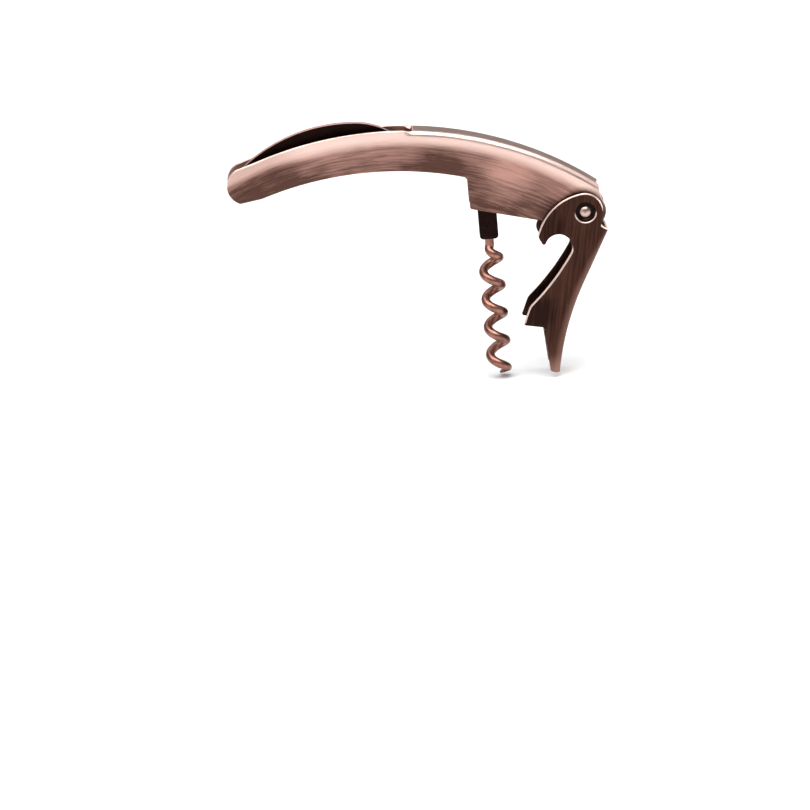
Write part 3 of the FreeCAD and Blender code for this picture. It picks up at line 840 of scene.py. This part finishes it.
def wear_group():
    """How far the patina is rubbed off a rim, broken up along it; on the sheet parts this includes the
    painted highlight on rims that face up.
    """
    inputs = [("Spread", "NodeSocketFloat", 1.0), ("Breakup", "NodeSocketFloat", 0.35)]
    tree, given, out = new_group("Rim wear", inputs, [("Rubbed", "NodeSocketFloat")])
    worn = add(tree, "ShaderNodeAttribute", attribute_name="wear").outputs["Fac"]
    place = add(tree, "ShaderNodeTexCoord").outputs["Object"]
    uneven = noise(tree, place, 700.0, 3.0, 0.6)
    loss = maths(tree, "MULTIPLY", uneven, given["Breakup"])
    left = maths(tree, "SUBTRACT", maths(tree, "MULTIPLY", worn, given["Spread"]), loss)
    tree.links.new(ramp(tree, left, 0.12, 0.62), out["Rubbed"])
    return tree


def spot_group():
    """One near a hinge's axis, fading to zero at the reach; the axis runs along Y."""
    inputs = [
        ("Hinge X", "NodeSocketFloat", 0.0),
        ("Hinge Z", "NodeSocketFloat", 0.0),
        ("Inner", "NodeSocketFloat", 0.0),
        ("Reach", "NodeSocketFloat", 1.0),
    ]
    tree, given, out = new_group("Round a hinge", inputs, [("Near", "NodeSocketFloat")])
    place = add(tree, "ShaderNodeTexCoord").outputs["Object"]
    flat = stretched(tree, place, (1.0, 0.0, 1.0))
    hinge = add(tree, "ShaderNodeCombineXYZ", {"X": given["Hinge X"], "Z": given["Hinge Z"]}).outputs[0]
    links = {0: flat, 1: hinge}
    gap = add(tree, "ShaderNodeVectorMath", links, operation="DISTANCE").outputs["Value"]
    tree.links.new(ramp(tree, gap, given["Inner"], given["Reach"], reverse=True), out["Near"])
    return tree


GROUPS = {}


def group(name):
    """A shared shader group, built the first time it is asked for."""
    makers = {"arc": arc_group, "brushing": brushing_group, "wear": wear_group, "spot": spot_group}
    if name not in GROUPS:
        GROUPS[name] = makers[name]()
    return GROUPS[name]


def use(tree, name, links=()):
    """Puts a shared group into a tree, its inputs linked or set."""
    return add(tree, "ShaderNodeGroup", links, node_tree=group(name))


# ---------------------------------------------------------------- materials

def metal(name, anisotropic=0.0):
    """An empty metal: its tree and its shader."""
    made = bpy.data.materials.new(name)
    made.use_nodes = True
    tree = made.node_tree
    shader = next(n for n in tree.nodes if n.type == "BSDF_PRINCIPLED")
    shader.inputs["Metallic"].default_value = 1.0
    shader.inputs["Anisotropic"].default_value = anisotropic
    return made, tree, shader


def copper_settings():
    """The colours that the user has set."""
    return bpy.context.scene.corkscrew_copper


def surface(tree, shader, tint, roughness, height, strength, distance=0.05 * MM):
    """Feeds a colour, a roughness and a bump height to the shader."""
    tree.links.new(tint, shader.inputs["Base Color"])
    tree.links.new(roughness, shader.inputs["Roughness"])
    links = {"Height": height, "Strength": strength, "Distance": distance}
    bump = add(tree, "ShaderNodeBump", links)
    tree.links.new(bump.outputs["Normal"], shader.inputs["Normal"])


def mixed(tree, *parts):
    """The sum of shares, each a socket times a weight, kept between zero and one."""
    total = 0.0
    for value, weight in parts:
        total = maths(tree, "MULTIPLY_ADD", value, weight, third=total)
    return maths(tree, "ADD", total, 0.0, clamp=True)


def near_hinge(tree, x, z, inner, reach):
    """One near a place given in millimetres from the lever hinge, fading out at the reach."""
    hinge = joint_place("lever_hinge")
    middle = {"Hinge X": hinge.x + x * MM, "Hinge Z": hinge.z + z * MM}
    sizes = {"Inner": inner * MM, "Reach": reach * MM}
    return use(tree, "spot", middle | sizes).outputs["Near"]


def handle_copper():
    """Bright brushed copper that follows the handle's arch, with a painted highlight along the top, painted
    shade below, at mid-length and towards the tail, and patina with painted shade round the lever.
    """
    look = copper_settings()
    made, tree, shader = metal("handle_copper", anisotropic=0.35)
    arch = joint_place("lever_hinge") + Vector((ARCH_MIDDLE, 0.0, ARCH_RISE - ARCH_RADIUS)) * MM
    arc = use(tree, "arc", {"Centre X": arch.x, "Centre Z": arch.z, "Radius": ARCH_RADIUS * MM})
    marks = use(tree, "brushing", {"Place": arc.outputs["Place"], "Fineness": 3.2, "Length": 22.0}).outputs
    rubbed = use(tree, "wear", {"Spread": 1.0, "Breakup": 0.4}).outputs["Rubbed"]
    # Painted highlight: the top bend made brighter where it would reflect the light from above.
    top_highlight = ramp(tree, arc.outputs["Below"], 1.6, 5.6, reverse=True)
    across = add(tree, "ShaderNodeSeparateXYZ", {0: arc.outputs["Place"]}).outputs["Y"]
    back = ramp(tree, maths(tree, "ABSOLUTE", across), 3.1, 3.9, reverse=True)
    # Painted sheen: a brighter patch on the upper belly.
    painted_sheen = near_hinge(tree, -23.0, 12.0, 2.0, 11.0)
    # Painted shade: darker towards the bottom of the walls, away from the light above.
    lower_shade = ramp(tree, arc.outputs["Below"], 4.0, 15.0)
    # Painted dark reflection: a darker patch at mid-length.
    waist_dark_reflection = near_hinge(tree, -43.0, 17.0, 2.0, 13.0)
    # Painted shade: darker and less rubbed towards the tail, where a hand's shadow falls.
    tail = ramp(tree, arc.outputs["Along"], -18.0, -34.0)
    # The mix below darkens the brushing with the painted shade masks above and over the flat top of the
    # back, and lightens it under the painted highlights.
    patina = mixed(
        tree, (marks["Streaks"], 0.32), (marks["Marks"], 0.34), (marks["Patches"], 0.18),
        (lower_shade, 0.5), (waist_dark_reflection, 0.45), (tail, 0.55), (top_highlight, -0.85), (painted_sheen, -0.4), (back, 1.4),
    )
    tint = blend_colours(tree, patina, look.handle, look.handle_dark)
    # Painted highlight: the top bend blended towards bright pink copper, less so towards the tail and on the
    # flat top.
    tint = blend_colours(tree, mixed(tree, (top_highlight, 0.9), (tail, -0.45), (back, -0.8)), tint, look.bare_and_highlight)
    # Patina and painted contact shade on the handle round the lever's ear and under its claw.
    ear_patina_and_shade = near_hinge(tree, -0.5, 0.0, 5.6, 8.4)
    under_claw_patina_and_shade = near_hinge(tree, -8.0, -2.0, 3.0, 9.0)
    shade = mixed(tree, (ear_patina_and_shade, 0.85), (under_claw_patina_and_shade, 0.7))
    tint = blend_colours(tree, shade, tint, look.soot_and_shade)
    tint = blend_colours(tree, mixed(tree, (rubbed, 1.0), (ear_patina_and_shade, -0.9)), tint, look.bare_and_highlight)
    roughness = mixed(tree, (1.0, 0.27), (marks["Marks"], 0.16), (patina, 0.12))
    surface(tree, shader, tint, roughness, marks["Marks"], 0.3)
    return made


def lever_copper():
    """Red-brown copper brushed along the lever, darker than the handle's partly as painted shade for its dim
    reflections; paler towards its back, partly as a painted highlight, and towards its tongue.
    """
    look = copper_settings()
    made, tree, shader = metal("lever_copper", anisotropic=0.3)
    place = add(tree, "ShaderNodeTexCoord").outputs["Object"]
    lean, drop = 0.174, 0.985
    brushed = add(tree, "ShaderNodeCombineXYZ", {
        "X": measured(tree, place, (-lean, 0.0, -drop)),
        "Y": measured(tree, place, (drop, 0.0, -lean)),
        "Z": measured(tree, place, (0.0, 1.0, 0.0)),
    }).outputs[0]
    marks = use(tree, "brushing", {"Place": brushed, "Fineness": 3.0, "Length": 26.0}).outputs
    rubbed = use(tree, "wear", {"Spread": 1.1, "Breakup": 0.35}).outputs["Rubbed"]
    back = use(tree, "arc", {"Centre X": 106.45 * MM, "Centre Z": -71.9 * MM, "Radius": 90.0 * MM}).outputs
    # Rubbed copper and a painted highlight where the lever's bend catches the light: paler near the back.
    back_rub_and_highlight = ramp(tree, back["Below"], -2.4, -0.2)
    height = add(tree, "ShaderNodeSeparateXYZ", {0: place}).outputs["Z"]
    tongue = ramp(tree, height, -50.0 * MM, -57.0 * MM)
    claw = near_hinge(tree, -11.0, -4.0, 2.0, 8.5)
    boot = near_hinge(tree, -17.5, -30.0, 2.0, 8.0)
    patina = mixed(
        tree, (marks["Streaks"], 0.4), (marks["Marks"], 0.3), (marks["Patches"], 0.2), (claw, 0.45),
        (boot, 0.6), (back_rub_and_highlight, -0.45), (tongue, -0.4),
    )
    tint = blend_colours(tree, patina, look.lever, look.lever_dark)
    # Paler near the back, partly a painted highlight, and towards the tongue.
    paler = mixed(tree, (back_rub_and_highlight, 0.16), (tongue, 0.4))
    tint = blend_colours(tree, paler, tint, look.handle)
    tint = blend_colours(tree, rubbed, tint, look.bare_and_highlight)
    roughness = mixed(tree, (1.0, 0.28), (marks["Marks"], 0.18))
    surface(tree, shader, tint, roughness, marks["Marks"], 0.3)
    return made


def plain_metal(name, body_tint, worn_tint, roughness, spread, dark):
    """A small part's metal: clouded patina, rubbed rims (on the knife also a painted highlight where they
    face up) and fine handling marks.
    """
    made, tree, shader = metal(name)
    place = add(tree, "ShaderNodeTexCoord").outputs["Object"]
    cloud = ramp(tree, noise(tree, place, 360.0, 4.0, 0.6), 0.35, 0.65)
    grit = noise(tree, place, 2700.0, 3.0, 0.6)
    rubbed = use(tree, "wear", {"Spread": spread, "Breakup": 0.35}).outputs["Rubbed"]
    tint = blend_colours(tree, maths(tree, "MULTIPLY", cloud, 0.6), body_tint, dark)
    tint = blend_colours(tree, rubbed, tint, worn_tint)
    rough = maths(tree, "ADD", roughness, maths(tree, "MULTIPLY", grit, 0.2))
    surface(tree, shader, tint, rough, grit, 0.2, 0.02 * MM)
    return made


def turned_metal(name, body_tint, dark_tint, roughness):
    """A turned part's metal, with fine rings round the lever hinge's axis."""
    hinge = joint_place("lever_hinge")
    made, tree, shader = metal(name, anisotropic=0.2)
    place = add(tree, "ShaderNodeTexCoord").outputs["Object"]
    flat = stretched(tree, place, (1.0, 0.0, 1.0))
    links = {0: flat, 1: (hinge.x, 0.0, hinge.z)}
    gap = add(tree, "ShaderNodeVectorMath", links, operation="DISTANCE").outputs["Value"]
    outwards = add(tree, "ShaderNodeCombineXYZ", {"X": gap}).outputs[0]
    rings = noise(tree, outwards, 6000.0, 2.0, 0.5)
    cloud = ramp(tree, noise(tree, place, 500.0, 4.0, 0.6), 0.4, 0.7)
    tint = blend_colours(tree, maths(tree, "MULTIPLY", cloud, 0.55), body_tint, dark_tint)
    rough = maths(tree, "ADD", roughness, maths(tree, "MULTIPLY", rings, 0.2))
    surface(tree, shader, tint, rough, rings, 0.25, 0.02 * MM)
    return made


MATERIALS = {}


def finish_named(name):
    """The material of that name, built the first time it is asked for."""
    look = copper_settings()
    plain = {
        "blackened": ("blackened_copper", look.dark, look.handle, 0.30, 0.8, look.soot_and_shade),
        "knife": ("knife_copper", look.dark, look.handle, 0.30, 0.9, look.soot_and_shade),
        "pin": ("pin_steel", look.handle, look.bare_and_highlight, 0.28, 0.7, look.handle_dark),
        "worm": ("worm_copper", look.worm, look.bare_and_highlight, 0.26, 0.6, look.handle_dark),
        "spring": ("spring_steel", look.steel, look.steel, 0.30, 0.7, look.steel_dark),
        "brass": ("washer_brass", look.brass, look.brass, 0.32, 0.7, look.brass_dark),
    }
    turned = {
        "collar": ("collar_copper", look.collar, look.soot_and_shade, 0.22),
        "rivet": ("rivet_copper", look.rivet, look.rivet_dark, 0.24),
    }
    if name not in MATERIALS:
        if name in plain:
            MATERIALS[name] = plain_metal(*plain[name])
        elif name in turned:
            MATERIALS[name] = turned_metal(*turned[name])
        else:
            MATERIALS[name] = {"handle": handle_copper, "lever": lever_copper}[name]()
    return MATERIALS[name]


def dress(piece, name):
    """Gives a piece or CAD node one material in every slot it has."""
    made = finish_named(name)
    if not piece.material_slots:
        piece.data.materials.append(made)
    for slot in piece.material_slots:
        slot.material = made
    return piece


# ---------------------------------------------------------------- operators

class CORKSCREW_OT_handle(bpy.types.Operator):
    """Build the brushed handle, its rims rounded and worn"""

    bl_idname = "corkscrew.handle"
    bl_label = "Handle"

    def execute(self, context):
        edges = context.scene.corkscrew_edges
        mesh_data = handle_mesh(edges.sheet / MM, edges.wear / MM)
        dress(placed("handle_sheet", mesh_data, "handle", "bright_copper", "handle_channel"), "handle")
        return {"FINISHED"}


class CORKSCREW_OT_lever(bpy.types.Operator):
    """Build the boot lever with its ears, claw and tongue"""

    bl_idname = "corkscrew.lever"
    bl_label = "Boot lever"

    def execute(self, context):
        edges = context.scene.corkscrew_edges
        mesh_data = lever_mesh(edges.sheet / MM, edges.wear / MM)
        dress(placed("lever_sheet", mesh_data, "lever", "brown_copper", "boot_lever"), "lever")
        return {"FINISHED"}


class CORKSCREW_OT_pivots(bpy.types.Operator):
    """Build the lever rivet, its collars and the flush pins, and finish the washers"""

    bl_idname = "corkscrew.pivots"
    bl_label = "Pivots"

    def execute(self, context):
        edges = context.scene.corkscrew_edges
        for side in ("near", "far"):
            node = "pivot_collar_" + side
            dress(refined(node, "handle", "dark_copper", edges.small, edges.wear), "collar")
        rivet = refined("lever_rivet", "handle", "rivet_copper", edges.small, edges.wear)
        dress(rivet, "rivet")
        for node in ("worm_rivet", "knife_rivet", "spring_pin"):
            dress(refined(node, "handle", "pin_steel", FLUSH_EDGE * MM, 0.0), "handle")
        dress(refined("worm_cross_pin", "worm", "pin_steel", FLUSH_EDGE * MM, 0.0), "blackened")
        for node in ("lever_washer", "worm_washer", "knife_spacer"):
            for side in ("near", "far"):
                dress(frame["nodes"][f"{node}_{side}"], "brass")
        dress(frame["nodes"]["lever_bush"], "pin")
        return {"FINISHED"}


class CORKSCREW_OT_worm(bpy.types.Operator):
    """Build the folded carrier and wind the wire worm with its drawn point"""

    bl_idname = "corkscrew.worm"
    bl_label = "Worm and carrier"

    def execute(self, context):
        edges = context.scene.corkscrew_edges
        dress(refined("worm_carrier", "worm", "dark_copper", edges.strip, edges.wear), "blackened")
        dress(placed("worm_wire", worm_mesh(), "worm", "worm_copper", "worm"), "worm")
        return {"FINISHED"}


class CORKSCREW_OT_knife(bpy.types.Operator):
    """Build the serrated foil knife and the spring that holds it"""

    bl_idname = "corkscrew.knife"
    bl_label = "Knife and spring"

    def execute(self, context):
        edges = context.scene.corkscrew_edges
        mesh_data = knife_mesh(edges.blade / MM, edges.wear / MM)
        dress(placed("knife_plate", mesh_data, "knife", "dark_copper", "knife_blade"), "knife")
        dress(refined("back_spring", "handle", "spring_steel", edges.blade, edges.wear), "spring")
        return {"FINISHED"}


class CORKSCREW_OT_stage(bpy.types.Operator):
    """Set the pale floor, the soft lights and the camera"""

    bl_idname = "corkscrew.stage"
    bl_label = "Stage"

    def execute(self, context):
        scene = context.scene
        stage = scene.corkscrew_stage
        pale_floor(stage)
        soft_lights(scene)
        place_camera(scene, stage)
        scene.view_settings.view_transform = "Standard"
        return {"FINISHED"}


def pale_floor(stage):
    """A floor just under the corkscrew that curves up into a backdrop behind it."""
    low = cad_box[0].z - 0.5 * MM
    half, front, back, bend, height, steps = 3.0, -3.0, 1.6, 0.8, 3.0, 16
    profile = [(front, low)]
    for step in range(steps + 1):
        angle = math.pi / 2 * step / steps
        profile.append((back - bend + bend * math.sin(angle), low + bend * (1 - math.cos(angle))))
    profile.append((back, low + height))
    form = bmesh.new()
    rows = [[form.verts.new((x, y, z)) for x in (-half, half)] for y, z in profile]
    for lower, upper in zip(rows, rows[1:]):
        form.faces.new((lower[0], lower[1], upper[1], upper[0]))
    mesh_data = mesh_from("backdrop", form)
    mesh_data.shade_smooth()
    backdrop = bpy.data.objects.new("backdrop", mesh_data)
    bpy.context.scene.collection.objects.link(backdrop)
    made = bpy.data.materials.new("pale_paper")
    made.use_nodes = True
    shader = next(n for n in made.node_tree.nodes if n.type == "BSDF_PRINCIPLED")
    shader.inputs["Base Color"].default_value = stage.floor
    shader.inputs["Roughness"].default_value = 0.9
    shader.inputs["Specular IOR Level"].default_value = 0.1
    mesh_data.materials.append(made)


def soft_light(name, place, target, across, watts):
    """A rectangular light at a place, turned to its target."""
    lamp = bpy.data.lights.new(name, "AREA")
    lamp.shape = "RECTANGLE"
    lamp.size, lamp.size_y = across
    lamp.energy = watts
    holder = bpy.data.objects.new(name, lamp)
    bpy.context.scene.collection.objects.link(holder)
    holder.location = place
    holder.rotation_euler = (Vector(target) - Vector(place)).to_track_quat("-Z", "Y").to_euler()


def soft_lights(scene):
    """A wide light overhead, a fill from each side, a wash on the backdrop and a grey surround."""
    aim = (cad_box[0] + cad_box[1]) / 2
    soft_light("overhead", (-0.1, -0.35, 0.85), aim, (1.2, 0.7), 15.0)
    soft_light("right_fill", (0.95, 0.05, 0.2), aim, (0.4, 0.7), 6.0)
    soft_light("left_fill", (-0.9, -0.7, 0.35), aim, (0.5, 0.6), 1.2)
    soft_light("backdrop_wash", (0.0, 0.35, 1.4), (0.0, 1.5, 0.0), (2.4, 0.6), 18.0)
    world = bpy.data.worlds.new("surround")
    world.use_nodes = True
    shade = next(n for n in world.node_tree.nodes if n.type == "BACKGROUND")
    shade.inputs["Color"].default_value = (0.9, 0.92, 0.95, 1.0)
    shade.inputs["Strength"].default_value = 0.27
    scene.world = world


def place_camera(scene, stage):
    """Looks from the stated bearing, with the lever rivet at its place in the picture."""
    bearing, tilt, roll = stage.azimuth, stage.elevation, stage.roll
    back = Vector((
        math.sin(bearing) * math.cos(tilt), -math.cos(bearing) * math.cos(tilt), math.sin(tilt)
    ))
    head = joint_place("lever_hinge") + Vector((0.0, cad_box[0].y, 0.0))
    across_share, up_share = 0.2227, 0.2379
    right = Vector((math.cos(bearing), math.sin(bearing), 0.0))
    above = back.cross(right)
    turned_right = right * math.cos(roll) - above * math.sin(roll)
    turned_above = above * math.cos(roll) + right * math.sin(roll)
    centre = head - (turned_right * across_share + turned_above * up_share) * stage.across
    data = bpy.data.cameras.new("camera")
    data.sensor_width = 36.0
    data.lens = data.sensor_width * stage.distance / stage.across
    data.clip_start, data.clip_end = 0.01, 20.0
    camera = bpy.data.objects.new("camera", data)
    scene.collection.objects.link(camera)
    camera.location = head + back * stage.distance
    gaze = (centre - camera.location).normalized()
    up = (turned_above - gaze * turned_above.dot(gaze)).normalized()
    side = gaze.cross(up)
    camera.matrix_world = matrix_from(side, up, -gaze, camera.location)
    scene.camera = camera


def matrix_from(x, y, z, place):
    """The matrix whose axes and place are the ones given."""
    turn = Matrix((x, y, z)).transposed().to_4x4()
    return Matrix.Translation(place) @ turn


class CORKSCREW_PT_panel(bpy.types.Panel):
    """Lists the corkscrew's sizes, colours and pieces"""

    bl_label = "Corkscrew"
    bl_idname = "CORKSCREW_PT_panel"
    bl_space_type = "VIEW_3D"
    bl_region_type = "UI"
    bl_category = "Corkscrew"

    def draw(self, context):
        for group_name in ("corkscrew_edges", "corkscrew_copper", "corkscrew_stage"):
            settings = getattr(context.scene, group_name)
            box = self.layout.box()
            for name in settings.__annotations__:
                box.prop(settings, name)
        for operator in OPERATORS:
            self.layout.operator(operator.bl_idname)


SETTINGS = {
    "corkscrew_edges": CorkscrewEdges,
    "corkscrew_copper": CorkscrewCopper,
    "corkscrew_stage": CorkscrewStage,
}
OPERATORS = (
    CORKSCREW_OT_handle,
    CORKSCREW_OT_lever,
    CORKSCREW_OT_pivots,
    CORKSCREW_OT_worm,
    CORKSCREW_OT_knife,
    CORKSCREW_OT_stage,
)


def register():
    for made in (*SETTINGS.values(), *OPERATORS, CORKSCREW_PT_panel):
        bpy.utils.register_class(made)
    for name, settings in SETTINGS.items():
        setattr(bpy.types.Scene, name, bpy.props.PointerProperty(type=settings))


def unregister():
    for name in SETTINGS:
        delattr(bpy.types.Scene, name)
    for made in reversed((*SETTINGS.values(), *OPERATORS, CORKSCREW_PT_panel)):
        bpy.utils.unregister_class(made)


def main():
    """Registers the add-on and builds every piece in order."""
    register()
    for operator in OPERATORS:
        module, action = operator.bl_idname.split(".")
        getattr(getattr(bpy.ops, module), action)()


if __name__ == "__main__":
    main()
